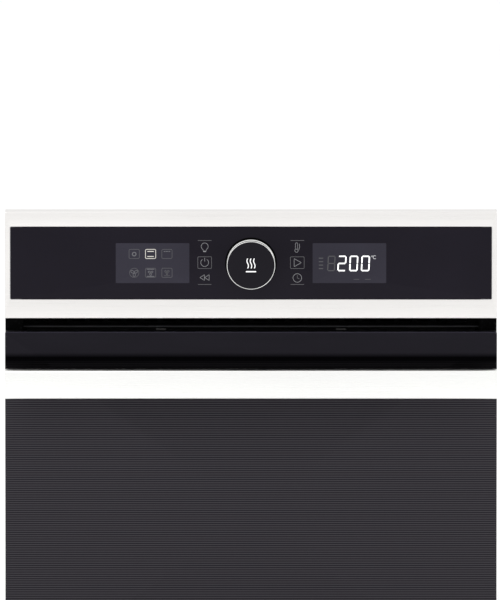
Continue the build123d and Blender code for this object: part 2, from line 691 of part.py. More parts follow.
# ---- Loose fittings of the cavity -------------------------------------------------------------------
def wire_shelf():
    """Chrome grid shelf on the fourth level, with a raised wire at its back."""
    z = SHELF_LEVEL + RACK_WIRE_R + LOOSE + 3
    x = SHELF_HALF
    y0, y1 = SHELF_Y
    frame = [(x, y0, z), (x, y1, z), (-x, y1, z), (-x, y0, z)]
    shelf = bent_wire(frame, 3, 12, close=True)
    for i in range(SHELF_BARS):
        shelf += rod_y(26 * (i - (SHELF_BARS - 1) / 2), z, 1.6, y0, y1)
    for y in (130, 275):
        shelf += rod_x(y, z - 1, 1.8, -x, x)
    guard = [(-180, y1, z), (-180, y1, z + 22), (180, y1, z + 22), (180, y1, z)]
    return shelf + bent_wire(guard, 2, 8)


def baking_tray():
    """Enamelled tray on the second level: flat rim and a pressed well with sloping sides."""
    rim_z = TRAY_LEVEL + RACK_WIRE_R + LOOSE
    place = Pos(0, TRAY_Y, rim_z + 1.2)
    tray = place * extrude(RectangleRounded(*TRAY_RIM, 10), -1.2)
    tray += place * extrude(RectangleRounded(*TRAY_WELL, 14), -TRAY_DEPTH, taper=8)
    hollow = RectangleRounded(TRAY_WELL[0] - 2.4, TRAY_WELL[1] - 2.4, 13)
    return tray - place * Pos(0, 0, 0.01) * extrude(hollow, 1.2 - TRAY_DEPTH, taper=8)


NODES = {
    "front_frame": front_frame,
    "left_side_panel": lambda: mirrored(side_panel()),
    "right_side_panel": side_panel,
    "top_cover": top_cover,
    "back_panel": back_panel,
    "base_panel": base_panel,
    "cover_screws": cover_screws,
    "partition_plate": partition_plate,
    "cavity_liner": cavity_liner,
    "insulation": insulation,
    "door_seal": door_seal,
    "left_rack_guide": lambda: mirrored(rack_guide()),
    "right_rack_guide": rack_guide,
    "grill_element": grill_element,
    "bottom_element": bottom_element,
    "ring_element": ring_element,
    "fan_cover": fan_cover,
    "fan_motor": fan_motor,
    "fan_shaft": fan_shaft,
    "convection_fan": convection_fan,
    "lamp_holder": lamp_holder,
    "lamp_glass": lamp_glass,
    "temperature_probe": temperature_probe,
    "vent_flue": vent_flue,
    "air_duct": air_duct,
    "air_outlet_grille": air_outlet_grille,
    "blower_housing": blower_housing,
    "blower_impeller": blower_impeller,
    "blower_motor": blower_motor,
    "power_board": power_board,
    "terminal_block": terminal_block,
    "safety_thermostat": safety_thermostat,
    "door_switch": door_switch,
    "switch_plunger": switch_plunger,
    "fascia_panel": fascia_panel,
    "control_glass": control_glass,
    "left_display": lambda: display(-DISPLAY_OUT, -DISPLAY_IN),
    "right_display": lambda: display(DISPLAY_IN, DISPLAY_OUT),
    "control_board": control_board,
    "knob_collar": knob_collar,
    "knob_ring": knob_ring,
    "knob_cap": knob_cap,
    "left_hinge_arm": lambda: mirrored(hinge_arm()),
    "right_hinge_arm": hinge_arm,
    "left_hinge_channel": lambda: mirrored(hinge_channel()),
    "right_hinge_channel": hinge_channel,
    "door_outer_glass": door_outer_glass,
    "door_middle_glass": door_middle_glass,
    "door_inner_glass": door_inner_glass,
    "left_door_stile": lambda: mirrored(door_stile()),
    "right_door_stile": door_stile,
    "door_top_rail": door_top_rail,
    "door_bottom_rail": door_bottom_rail,
    "door_buffers": door_buffers,
    "handle_bar": handle_bar,
    "left_handle_mount": lambda: mirrored(handle_mount()),
    "right_handle_mount": handle_mount,
    "handle_screws": handle_screws,
    "wire_shelf": wire_shelf,
    "baking_tray": baking_tray,
}

os.makedirs("parts", exist_ok=True)
for name, make in NODES.items():
    export_step(Pos(0, SHIFT_Y, 0) * make(), f"parts/{name}.step")
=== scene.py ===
"""Built-in oven: shapes and finishes of its visible pieces, an add-on that is run as a script."""

import json  # noqa: E402
from math import cos, pi, radians, sin  # noqa: E402

import bmesh  # noqa: E402
import bpy  # noqa: E402
import numpy as np  # noqa: E402
from bpy.props import FloatProperty, FloatVectorProperty, IntProperty, PointerProperty  # noqa: E402
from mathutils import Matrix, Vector  # noqa: E402


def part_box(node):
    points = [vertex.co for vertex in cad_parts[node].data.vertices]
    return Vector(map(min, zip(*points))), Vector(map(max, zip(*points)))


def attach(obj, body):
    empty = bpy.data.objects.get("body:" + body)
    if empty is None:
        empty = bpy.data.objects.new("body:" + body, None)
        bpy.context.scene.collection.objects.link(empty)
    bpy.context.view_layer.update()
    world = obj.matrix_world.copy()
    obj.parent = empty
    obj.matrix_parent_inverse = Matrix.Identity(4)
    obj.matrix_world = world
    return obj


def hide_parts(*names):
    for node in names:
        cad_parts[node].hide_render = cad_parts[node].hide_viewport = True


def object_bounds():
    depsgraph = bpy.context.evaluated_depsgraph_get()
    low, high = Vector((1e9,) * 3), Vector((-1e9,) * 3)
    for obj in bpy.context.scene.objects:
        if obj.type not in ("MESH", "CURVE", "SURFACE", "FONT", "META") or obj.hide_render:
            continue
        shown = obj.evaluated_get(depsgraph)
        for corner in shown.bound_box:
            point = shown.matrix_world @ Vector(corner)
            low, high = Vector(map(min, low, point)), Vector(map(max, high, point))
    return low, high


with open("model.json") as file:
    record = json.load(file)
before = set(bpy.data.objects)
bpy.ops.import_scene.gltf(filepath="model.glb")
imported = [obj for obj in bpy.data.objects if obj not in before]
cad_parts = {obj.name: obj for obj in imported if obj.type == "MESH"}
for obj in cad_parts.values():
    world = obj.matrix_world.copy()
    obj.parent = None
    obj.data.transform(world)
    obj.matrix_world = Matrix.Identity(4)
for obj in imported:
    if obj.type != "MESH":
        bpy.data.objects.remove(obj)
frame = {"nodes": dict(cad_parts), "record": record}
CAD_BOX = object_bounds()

bl_info = {
    "name": "Built-in oven",
    "version": (1, 0, 0),
    "blender": (4, 5, 0),
    "location": "3D View > Sidebar > Oven",
    "description": "Makes the pieces, finishes and studio of a built-in oven around its packed frame",
    "category": "Object",
}

MM = 0.001


# ---- Sizes and colours that a user would change -----------------------------------------------------
def length(name, text, value):
    """Size that a user may change, in metres."""
    return FloatProperty(
        name=name, description=text, default=value, min=0.0, unit="LENGTH", precision=5
    )


def colour(name, text, value):
    """Linear colour that a user may change."""
    return FloatVectorProperty(
        name=name, description=text, default=value, size=3, min=0.0, max=1.0, subtype="COLOR"
    )


class OvenSizes(bpy.types.PropertyGroup):
    """Sizes of the visible details."""

    edge: length("Glass edge", "Bevel along the glass edges", 0.5 * MM)
    steel_edge: length("Steel edge", "Rounding of the control panel's folds", 0.9 * MM)
    handle_edge: length("Handle edge", "Rounding along the handle bar", 2.2 * MM)
    print_height: length("Print height", "How far printed marks stand on the glass", 0.06 * MM)
    line: length("Symbol line", "Width of the key symbols' lines", 0.52 * MM)
    digit_w: length("Digit width", "Width of a display digit", 10.2 * MM)
    digit_h: length("Digit height", "Height of a display digit", 18.8 * MM)
    digit_line: length("Digit line", "Width of a digit's bars", 1.4 * MM)
    digit_pitch: length("Digit pitch", "Distance from one digit to the next", 14.2 * MM)
    stripe_pitch: length("Stripe pitch", "Distance between the lines on the door's glass", 2.7 * MM)
    stripe_drop: length("Plain band", "Height of the plain band at the door's top", 36.0 * MM)
    border: length("Inner border", "Width of the print round the inner pane", 42.0 * MM)
    round_steps: IntProperty(
        name="Round steps", description="Faces round a full circle of the knob", default=160, min=24
    )


class OvenColours(bpy.types.PropertyGroup):
    """Base colours of the main finishes, linear."""

    steel: colour("Steel", "Brushed steel of the control panel", (0.80, 0.785, 0.77))
    handle: colour("Handle", "Fine steel of the handle", (0.87, 0.87, 0.855))
    glass: colour("Control glass", "Black glass of the control panel", (0.0046, 0.0038, 0.0068))
    door: colour("Door glass", "Plain band of the door's glass", (0.0042, 0.0039, 0.0060))
    stripe_light: colour("Light stripe", "Light line of the door's print", (0.034, 0.032, 0.036))
    stripe_dark: colour("Dark stripe", "Dark line of the door's print", (0.0060, 0.0055, 0.0068))
    display: colour("Display", "Unlit display window", (0.022, 0.021, 0.030))
    lit: colour("Lit sign", "Lit digits and signs", (1.0, 1.0, 1.0))
    key: colour("Key print", "Symbols printed on the touch keys", (0.21, 0.21, 0.22))
    dim: colour("Dim sign", "Signs that are not lit", (0.115, 0.115, 0.125))


def sizes():
    """The scene's sizes."""
    return bpy.context.scene.oven_sizes


def colours():
    """The scene's colours."""
    return bpy.context.scene.oven_colours


# ---- Places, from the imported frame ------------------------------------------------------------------
def spot(node):
    """Lowest corner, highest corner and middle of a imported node."""
    low, high = (np.array(p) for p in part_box(node))
    return low, high, (low + high) / 2


GLASS_LOW, GLASS_HIGH, GLASS_MID = spot("control_glass")
DOOR_LOW, DOOR_HIGH, DOOR_MID = spot("door_outer_glass")
PANEL_LOW, PANEL_HIGH, PANEL_MID = spot("fascia_panel")
HANDLE_LOW, HANDLE_HIGH, HANDLE_MID = spot("handle_bar")
KNOB_LOW, KNOB_HIGH, KNOB_MID = spot("knob_ring")
GLASS_Y = GLASS_LOW[1]
KNOB_RADIUS = (KNOB_HIGH[0] - KNOB_LOW[0]) / 2
DISC_CENTRE = 0.02 * MM  # radius of the tiny flat where a turned solid closes on its axis

# Places on the control glass, from its middle.
KEY_X = 56.0 * MM
KEY_ROWS = (19.2 * MM, 0.6 * MM, -17.6 * MM)
KEY_SIZE = (16.6 * MM, 14.3 * MM)
CLOCK_Z = -18.1 * MM
ICON_PITCH = (19.8 * MM, 23.0 * MM)
ICON_SIZE = (12.4 * MM, 11.2 * MM)
DISPLAY_X = 119.0 * MM
DISPLAY_SIZE = (89.0 * MM, 48.7 * MM)
LAST_DIGIT_X = 138.4 * MM
DIGIT_Z = -0.4 * MM

# Folded control panel.
PANEL_DEPTH = 22.0 * MM
PANEL_WALL = 1.2 * MM
LEG_X, LEG_HEIGHT, LEG_START, LEG_REACH = 268.6 * MM, 108.0 * MM, 4.5 * MM, 15.9 * MM

# Camera: far off with a long lens.
CAMERA_DISTANCE, FRAME_HEIGHT, CAMERA_DOWN = 26.0, 0.7256, 8.0
CAMERA_AIM = (-1.2 * MM, PANEL_LOW[1], 0.4872)


# ---- Surfaces ---------------------------------------------------------------------------------------
def grid_faces(rows, cols, loop_rows=False, loop_cols=True):
    """Quads of a grid: face (i, j) joins points (i, j), (i, j+1), (i+1, j+1) and (i+1, j), and wraps
    round in a direction that closes on itself."""
    i = np.arange(rows if loop_rows else rows - 1)[:, None]
    j = np.arange(cols if loop_cols else cols - 1)[None, :]
    right, up = (j + 1) % cols, (i + 1) % rows
    quads = np.stack([i * cols + j, i * cols + right, up * cols + right, up * cols + j], axis=-1)
    return quads.reshape(-1, 4)


def loft(rings, loop_rows=False, caps=True):
    """Skin through closed rings of equal point counts, an array (ring, point, 3). A cap is a fan from
    the end ring to the mean of its points."""
    rings = np.asarray(rings, dtype=float)
    rows, cols = rings.shape[:2]
    verts = rings.reshape(-1, 3)
    faces = grid_faces(rows, cols, loop_rows).tolist()
    if caps and not loop_rows:
        verts = np.vstack([verts, rings[0].mean(0), rings[-1].mean(0)])
        j = np.arange(cols)
        turn = (j + 1) % cols
        first, last = rows * cols, rows * cols + 1
        faces += np.stack([turn, j, np.full(cols, first)], axis=1).tolist()
        base = (rows - 1) * cols
        faces += np.stack([base + j, base + turn, np.full(cols, last)], axis=1).tolist()
    return verts, faces


def rounded(width, height, corner, steps=8):
    """Rounded rectangle in the x-z plane: four arcs of the corner radius, each steps + 1 points, joined
    by straight sides."""
    corner = max(corner, 1e-6)
    turn = np.linspace(0, pi / 2, steps + 1)
    start = np.repeat(np.arange(4) * pi / 2, steps + 1)
    angle = start + np.tile(turn, 4)
    side_x = np.repeat([1, -1, -1, 1], steps + 1) * (width / 2 - corner)
    side_z = np.repeat([1, 1, -1, -1], steps + 1) * (height / 2 - corner)
    return np.stack([side_x + corner * np.cos(angle), side_z + corner * np.sin(angle)], axis=1)


def circle(radius, count):
    """Points at equal angles on a circle."""
    angle = np.linspace(0, 2 * pi, count, endpoint=False)
    return radius * np.stack([np.cos(angle), np.sin(angle)], axis=1)


def facing(outline, x, y, z):
    """Outline of (x, z) points placed in a plane that faces the front, at depth y."""
    return np.stack([x + outline[:, 0], np.full(len(outline), y), z + outline[:, 1]], axis=1)


def quarter(edge, steps=4):
    """Insets and depths of a quarter-round edge: inset = edge (1 - sin a), depth = edge (1 - cos a),
    for a from 0 to a right angle."""
    a = np.linspace(0, pi / 2, steps + 1)
    return list(zip(edge * (1 - np.sin(a)), edge * (1 - np.cos(a))))


def plate(outline, x, z, y_front, y_back, edge):
    """Plate that faces the front. outline(inset) gives the ring at an inset, and both rims are
    quarter-rounds."""
    rings = [facing(outline(inset), x, y_front + depth, z) for inset, depth in quarter(edge)]
    rings += [facing(outline(inset), x, y_back - depth, z) for inset, depth in reversed(quarter(edge))]
    return loft(rings)


def rounded_plate(width, height, corner, x, z, y_front, y_back, edge):
    """Plate whose outline at an inset is a rounded rectangle, smaller by the inset on every side."""

    def outline(inset):
        return rounded(width - 2 * inset, height - 2 * inset, corner - inset)

    return plate(outline, x, z, y_front, y_back, edge)


def turned(profile, x, z, count):
    """Surface of revolution about an axis along y: each (radius, y) point of the profile becomes a
    ring, and the profile closes on itself."""
    rings = [facing(circle(radius, count), x, y, z) for radius, y in profile]
    return loft(rings, loop_rows=True, caps=False)


def turned_solid(profile, x, z, count):
    """Surface of revolution whose two ends are closed by fans."""
    return loft([facing(circle(radius, count), x, y, z) for radius, y in profile])


def ribbon(points, width, y, height, closed=False):
    """Raised line in the x-z plane: a rectangle of the line's width and height, carried along the
    points and square to them."""
    points = np.asarray(points, dtype=float)
    if closed:
        along = np.roll(points, -1, axis=0) - np.roll(points, 1, axis=0)
    else:
        along = np.gradient(points, axis=0)
    along /= np.linalg.norm(along, axis=1)[:, None]
    across = np.stack([-along[:, 1], along[:, 0]], axis=1) * width / 2
    left, right = points + across, points - across
    ring = []
    for side, depth in ((left, y - height), (right, y - height), (right, y), (left, y)):
        ring.append(np.stack([side[:, 0], np.full(len(side), depth), side[:, 1]], axis=1))
    rings = np.stack(ring, axis=1)
    return loft(rings, loop_rows=closed, caps=not closed)


def together(parts):
    """One mesh from several: points are stacked and face numbers moved up by what comes before."""
    verts, faces, start = [], [], 0
    for points, quads in parts:
        verts.append(points)
        faces += [[start + v for v in face] for face in quads]
        start += len(points)
    return np.vstack(verts), faces


def add_piece(name, part, body, material, replaces=(), angle=35.0):
    """Mesh object from points and faces: doubles merged, normals outwards, smooth below the angle."""
    verts, faces = part
    mesh = bpy.data.meshes.new(name)
    mesh.from_pydata(verts.tolist(), [], faces)
    work = bmesh.new()
    work.from_mesh(mesh)
    bmesh.ops.remove_doubles(work, verts=work.verts, dist=1e-7)
    bmesh.ops.dissolve_degenerate(work, edges=work.edges, dist=1e-8)
    bmesh.ops.recalc_face_normals(work, faces=work.faces)
    work.to_mesh(mesh)
    work.free()
    mesh.shade_smooth()
    mesh.set_sharp_from_angle(angle=radians(angle))
    mesh.materials.append(material)
    piece = bpy.data.objects.new(name, mesh)
    bpy.context.scene.collection.objects.link(piece)
    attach(piece, body)
    if replaces:
        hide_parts(*replaces)
    return piece


# ---- Node helpers -----------------------------------------------------------------------------------
def new_finish(name):
    """Empty finish: its node tree, its shader and its object coordinates."""
    material = bpy.data.materials.new(name)
    material.use_nodes = True
    tree = material.node_tree
    coords = tree.nodes.new("ShaderNodeTexCoord").outputs["Object"]
    return material, tree, tree.nodes["Principled BSDF"], coords


def node(tree, kind, inputs=None, **settings):
    """New node; inputs are plain values or the sockets that feed them."""
    made = tree.nodes.new(kind)
    for key, value in settings.items():
        setattr(made, key, value)
    for key, value in (inputs or {}).items():
        if isinstance(value, bpy.types.NodeSocket):
            tree.links.new(value, made.inputs[key])
        else:
            made.inputs[key].default_value = value
    return made


def stretched(tree, coords, scale):
    """Coordinates scaled along each axis."""
    return node(tree, "ShaderNodeMapping", {"Vector": coords, "Scale": scale}).outputs[0]


def noise(tree, vector, scale, detail=4.0, roughness=0.55):
    """Fractal noise between 0 and 1."""
    values = {"Vector": vector, "Scale": scale, "Detail": detail, "Roughness": roughness}
    return node(tree, "ShaderNodeTexNoise", values).outputs[0]


def ramp(tree, factor, *stops):
    """Colour or grey by factor, from (place, value) stops."""
    made = node(tree, "ShaderNodeValToRGB", {"Fac": factor})
    elements = made.color_ramp.elements
    while len(elements) < len(stops):
        elements.new(0.5)
    for element, (place, value) in zip(elements, stops):
        element.position = place
        grey = isinstance(value, (int, float))
        element.color = (value, value, value, 1.0) if grey else (*value, 1.0)
    return made.outputs[0]


def mixed(tree, factor, a, b):
    """Colour between a and b by factor."""
    made = node(tree, "ShaderNodeMix", data_type="RGBA")
    for key, value in ((0, factor), (6, a), (7, b)):
        if isinstance(value, bpy.types.NodeSocket):
            tree.links.new(value, made.inputs[key])
        else:
            made.inputs[key].default_value = (*value, 1.0)
    return made.outputs[2]


def maths(tree, operation, a, b=0.0):
    """Result of one sum on plain values or sockets."""
    return node(tree, "ShaderNodeMath", {0: a, 1: b}, operation=operation).outputs[0]


def relief(tree, shader, height, strength, distance):
    """Bump from a height socket."""
    values = {"Height": height, "Strength": strength, "Distance": distance}
    tree.links.new(node(tree, "ShaderNodeBump", values).outputs[0], shader.inputs["Normal"])


def feed(tree, shader, **links):
    """Links a colour and a roughness socket to the shader."""
    names = {"colour": "Base Color", "rough": "Roughness"}
    for key, socket in links.items():
        tree.links.new(socket, shader.inputs[names[key]])


def tone(value, by):
    """A colour made lighter or darker by a factor."""
    return tuple(min(1.0, c * by) for c in value)


def varied(tree, factor, base, less, more):
    """Base colour from its darker tone to its lighter one, as the factor goes from 0.3 to 0.7."""
    return ramp(tree, factor, (0.3, tone(base, less)), (0.7, tone(base, more)))


# ---- Finishes ---------------------------------------------------------------------------------------
def brushed_steel(name, base, low, high, grain=(6.0, 900.0, 900.0), contrast=0.06, bump=0.08):
    """Steel brushed along x: noise drawn out along the width drives tone, roughness and relief, and a
    slow cloud varies the tone over the sheet."""
    material, tree, shader, coords = new_finish(name)
    shader.inputs["Metallic"].default_value = 1.0
    fine = noise(tree, stretched(tree, coords, grain), 1.0, 6.0, 0.7)
    slow = noise(tree, stretched(tree, coords, (2.0, 8.0, 8.0)), 1.5, 2.0)
    streaks = varied(tree, fine, base, 1 - contrast, 1 + contrast / 2)
    cloud = ramp(tree, slow, (0.35, tone(base, 0.95)), (0.65, tone(base, 1.02)))
    feed(tree, shader, colour=mixed(tree, slow, streaks, cloud))
    feed(tree, shader, rough=ramp(tree, fine, (0.3, low), (0.7, high)))
    relief(tree, shader, fine, bump, 0.00005)
    shader.inputs["Anisotropic"].default_value = 0.4
    shader.inputs["Specular Tint"].default_value = (0.88, 0.88, 0.88, 1.0)
    return material


def plain_metal(name, base, low, high, scale=60.0, contrast=0.12, bump=0.05, metallic=1.0):
    """Metal with cloudy handling marks: noise drives tone, roughness and a slight relief."""
    material, tree, shader, coords = new_finish(name)
    shader.inputs["Metallic"].default_value = metallic
    cloud = noise(tree, coords, scale, 6.0, 0.6)
    feed(tree, shader, colour=varied(tree, cloud, base, 1 - contrast, 1 + contrast))
    feed(tree, shader, rough=ramp(tree, cloud, (0.3, low), (0.7, high)))
    relief(tree, shader, noise(tree, coords, scale * 12, 3.0), bump, 0.0001)
    return material


def zinc_sheet():
    """Galvanised sheet: crystal spangles as cells of different tone and gloss, with a fine grain."""
    material, tree, shader, coords = new_finish("galvanised_sheet")
    shader.inputs["Metallic"].default_value = 0.85
    slow = noise(tree, coords, 40.0, 3.0)
    cells = node(tree, "ShaderNodeTexVoronoi", {"Vector": coords, "Scale": 85.0, "Randomness": 1.0})
    grey = node(tree, "ShaderNodeSeparateColor", {0: cells.outputs["Color"]}).outputs[0]
    fine = noise(tree, coords, 400.0, 4.0)
    dull, middling, bright = (0.40, 0.42, 0.44), (0.50, 0.52, 0.54), (0.60, 0.62, 0.64)
    spangle = ramp(tree, grey, (0.0, dull), (0.5, middling), (1.0, bright))
    cloud = ramp(tree, slow, (0.3, (0.42, 0.44, 0.46)), (0.7, (0.58, 0.60, 0.62)))
    feed(tree, shader, colour=mixed(tree, fine, spangle, cloud))
    feed(tree, shader, rough=ramp(tree, grey, (0.0, 0.36), (1.0, 0.52)))
    relief(tree, shader, fine, 0.06, 0.0001)
    return material


def black_glass(name, base, specular=0.15):
    """Back-printed black glass: near-mirror, with the faintest unevenness in tone and gloss."""
    material, tree, shader, coords = new_finish(name)
    cloud = noise(tree, coords, 9.0, 3.0)
    feed(tree, shader, colour=varied(tree, cloud, base, 0.85, 1.15))
    feed(tree, shader, rough=ramp(tree, noise(tree, coords, 120.0, 4.0), (0.3, 0.035), (0.7, 0.06)))
    shader.inputs["Specular IOR Level"].default_value = specular
    shader.inputs["Specular Tint"].default_value = (0.90, 0.84, 1.0, 1.0)
    return material


def lined_glass():
    """The door's outer pane: a plain black band at the top, and below it fine level lines, light for a
    little over half of each pitch. A painted highlight lightens the pane's top edge, and a painted shade
    darkens the glass and dims its gloss just above and behind the handle."""
    tones, size = colours(), sizes()
    material, tree, shader, coords = new_finish("door_glass_print")
    height = node(tree, "ShaderNodeSeparateXYZ", {0: coords}).outputs["Z"]
    phase = maths(tree, "FRACT", maths(tree, "DIVIDE", height, size.stripe_pitch))
    lines = ramp(
        tree, phase,
        (0.0, tones.stripe_dark), (0.34, tones.stripe_dark), (0.46, tones.stripe_light),
        (0.88, tones.stripe_light), (1.0, tones.stripe_dark),
    )
    cloud = noise(tree, stretched(tree, coords, (4.0, 4.0, 40.0)), 2.0, 3.0)
    plain = varied(tree, cloud, tones.door, 0.85, 1.15)
    below = maths(tree, "LESS_THAN", height, DOOR_HIGH[2] - size.stripe_drop)
    drop = maths(tree, "SUBTRACT", DOOR_HIGH[2], height)
    # Painted highlight: the top 0.5 mm of the pane is five times lighter, fading out by 1 mm, for light
    # caught on its top edge.
    rim = ramp(tree, maths(tree, "DIVIDE", drop, 10.0 * MM), (0.0, 1.0), (0.05, 1.0), (0.10, 0.0))
    plain = mixed(tree, rim, plain, tone(tones.door, 5.0))
    print_colour = mixed(tree, below, plain, lines)
    # Painted shade: from 25 to 74 mm under the pane's top, the print is darkened towards black, deepest
    # about 31 mm down. It stands for the handle's shadow and its dark reflection, and the same mask dims
    # the gloss.
    painted_handle_shade = ramp(
        tree, maths(tree, "DIVIDE", drop, 0.1),
        (0.0, 1.0), (0.25, 1.0), (0.31, 0.08), (0.44, 0.16), (0.60, 0.5), (0.74, 1.0),
    )
    feed(tree, shader, colour=mixed(tree, painted_handle_shade, (0.0, 0.0, 0.0), print_colour))
    gloss = ramp(tree, noise(tree, coords, 120.0, 4.0), (0.3, 0.04), (0.7, 0.07))
    feed(tree, shader, rough=gloss)
    shader.inputs["Specular Tint"].default_value = (0.90, 0.84, 1.0, 1.0)
    shade_dimmed_gloss = maths(tree, "MULTIPLY", painted_handle_shade, 0.15)
    tree.links.new(shade_dimmed_gloss, shader.inputs["Specular IOR Level"])
    relief(tree, shader, maths(tree, "MULTIPLY", phase, below), 0.04, 0.00003)
    return material


def clear_glass(name, tint=(0.93, 0.97, 0.96)):
    """Clear tempered pane: its gloss varies with faint wipe marks."""
    material, tree, shader, coords = new_finish(name)
    wipes = noise(tree, stretched(tree, coords, (5.0, 5.0, 14.0)), 3.0, 4.0)
    feed(tree, shader, colour=ramp(tree, wipes, (0.3, tone(tint, 0.97)), (0.7, tint)))
    feed(tree, shader, rough=ramp(tree, wipes, (0.4, 0.02), (0.8, 0.05)))
    shader.inputs["Transmission Weight"].default_value = 1.0
    shader.inputs["IOR"].default_value = 1.5
    return material


def speckled_enamel(name, base, fleck, low=0.12, high=0.2, density=0.655, specular=0.5):
    """Fired enamel: dark glossy ground with scattered light flecks and a slight orange-peel relief."""
    material, tree, shader, coords = new_finish(name)
    dots = noise(tree, coords, 620.0, 2.0, 0.4)
    ground = varied(tree, noise(tree, coords, 14.0), base, 0.85, 1.15)
    mask = ramp(tree, dots, (density, 0.0), (density + 0.03, 1.0))
    feed(tree, shader, colour=mixed(tree, mask, ground, fleck))
    feed(tree, shader, rough=ramp(tree, noise(tree, coords, 90.0), (0.3, low), (0.7, high)))
    relief(tree, shader, noise(tree, coords, 260.0, 2.0), 0.07, 0.0002)
    shader.inputs["Specular IOR Level"].default_value = specular
    return material


def moulded(name, base, low, high, grain=900.0, bump=0.12, contrast=0.1, specular=0.5):
    """Moulded or painted surface: fine grain in relief, and tone and roughness that vary a little."""
    material, tree, shader, coords = new_finish(name)
    cloud = noise(tree, coords, 25.0, 5.0)
    feed(tree, shader, colour=varied(tree, cloud, base, 1 - contrast, 1 + contrast))
    feed(tree, shader, rough=ramp(tree, cloud, (0.3, low), (0.7, high)))
    relief(tree, shader, noise(tree, coords, grain, 2.0), bump, 0.0001)
    shader.inputs["Specular IOR Level"].default_value = specular
    return material


def heater_sheath():
    """Oxidised heater tube: blue-grey with browner, rougher bands."""
    material, tree, shader, coords = new_finish("heater_sheath")
    shader.inputs["Metallic"].default_value = 0.8
    bands = noise(tree, coords, 35.0, 5.0, 0.65)
    feed(tree, shader, colour=ramp(tree, bands, (0.3, (0.09, 0.085, 0.09)), (0.7, (0.21, 0.17, 0.14))))
    feed(tree, shader, rough=ramp(tree, bands, (0.3, 0.4), (0.7, 0.65)))
    relief(tree, shader, noise(tree, coords, 1500.0, 3.0), 0.15, 0.0001)
    return material


def glass_wool():
    """Fibres: two noises drawn out across each other, yellow and rough."""
    material, tree, shader, coords = new_finish("glass_wool")
    one = noise(tree, stretched(tree, coords, (60.0, 600.0, 900.0)), 1.0, 5.0)
    two = noise(tree, stretched(tree, coords, (700.0, 60.0, 800.0)), 1.0, 5.0)
    fibres = maths(tree, "MAXIMUM", one, two)
    feed(tree, shader, colour=ramp(tree, fibres, (0.4, (0.42, 0.33, 0.12)), (0.7, (0.80, 0.72, 0.40))))
    feed(tree, shader, rough=ramp(tree, fibres, (0.4, 0.8), (0.7, 1.0)))
    relief(tree, shader, fibres, 0.8, 0.002)
    return material


def circuit_board():
    """Solder mask with traces: brick courses stand for the copper under the mask."""
    material, tree, shader, coords = new_finish("circuit_board")
    traces = node(tree, "ShaderNodeTexBrick", {"Vector": coords, "Scale": 180.0})
    traces.inputs["Color1"].default_value = (0.010, 0.085, 0.030, 1)
    traces.inputs["Color2"].default_value = (0.012, 0.11, 0.040, 1)
    traces.inputs["Mortar"].default_value = (0.04, 0.22, 0.09, 1)
    feed(tree, shader, colour=traces.outputs["Color"])
    feed(tree, shader, rough=ramp(tree, traces.outputs["Fac"], (0.0, 0.35), (1.0, 0.5)))
    return material


def light_print(name, base, glow):
    """Lit or printed sign, emitting its own colour: its light is a little uneven, as behind a diffuser.
    On printed signs that are not lit, this glow is painted light.
    """
    material, tree, shader, coords = new_finish(name)
    uneven = noise(tree, coords, 90.0, 2.0)
    shade = ramp(tree, uneven, (0.3, tone(base, 0.92)), (0.7, base))
    feed(tree, shader, colour=shade)
    feed(tree, shader, rough=ramp(tree, uneven, (0.3, 0.35), (0.7, 0.5)))
    tree.links.new(shade, shader.inputs["Emission Color"])
    shader.inputs["Emission Strength"].default_value = glow
    return material


def outlet_paint():
    """Black paint of the air outlet, with a painted highlight along its lip: tone by height."""
    material, tree, shader, coords = new_finish("outlet_paint")
    height = node(tree, "ShaderNodeSeparateXYZ", {0: coords}).outputs["Z"]
    low = spot("air_outlet_grille")[0][2]
    above = maths(tree, "DIVIDE", maths(tree, "SUBTRACT", height, low + 2.7 * MM), 1.6 * MM)
    black, lip_highlight = (0.0006, 0.0006, 0.0007), (0.065, 0.065, 0.070)
    # Painted highlight: a lighter band from about 2.9 to 4.1 mm above the grille's lowest point, where
    # light catches the lip's edge.
    band = ramp(tree, above, (0.0, black), (0.1, lip_highlight), (0.9, lip_highlight), (1.0, black))
    cloud = noise(tree, coords, 60.0, 4.0)
    feed(tree, shader, colour=band, rough=ramp(tree, cloud, (0.3, 0.5), (0.7, 0.7)))
    shader.inputs["Specular IOR Level"].default_value = 0.03
    return material


# ---- Signs ------------------------------------------------------------------------------------------
def sign_line(points, width=None, closed=False):
    """Line of a sign on the control glass; points are metres from the glass's middle."""
    size = sizes()
    place = np.asarray(points, dtype=float) + [GLASS_MID[0], GLASS_MID[2]]
    return ribbon(place, width or size.line, GLASS_Y, size.print_height, closed)


def shifted(points, x, z):
    """Points moved by x and z."""
    return np.asarray(points, dtype=float) + [x, z]


def segment(x0, z0, x1, z1):
    """Two ends of a straight line, given in millimetres."""
    return [(x0 * MM, z0 * MM), (x1 * MM, z1 * MM)]


def arc(radius, start, end, count=40):
    """Points on an arc between two angles in degrees, counted from +x towards +z."""
    angle = np.radians(np.linspace(start, end, count))
    return radius * np.stack([np.cos(angle), np.sin(angle)], axis=1)


def ring_sign(x, z, radius, width=None):
    """Circle of 48 points about x, z."""
    return sign_line(shifted(circle(radius, 48), x, z), width, True)


def box_sign(x, z, width, height, corner, line=None):
    """Outline of a rounded rectangle about x, z."""
    return sign_line(shifted(rounded(width, height, corner), x, z), line, True)


def bars(x, z, *segments, width=None):
    """Straight lines about x, z, each (x0, z0, x1, z1) in millimetres."""
    return [sign_line(shifted(segment(*s), x, z), width) for s in segments]


def fan_sign(x, z, reach):
    """Three blades: radius = reach (0.6 + 0.4 cos(3a - pi/2)) round the circle, about a small hub."""
    a = np.linspace(0, 2 * pi, 90, endpoint=False)
    r = reach * (0.60 + 0.40 * np.cos(3 * a - pi / 2))
    blades = np.stack([r * np.cos(a), r * np.sin(a)], axis=1)
    return [sign_line(shifted(blades, x, z), 0.6 * MM, True), ring_sign(x, z, 0.7 * MM, 0.5 * MM)]


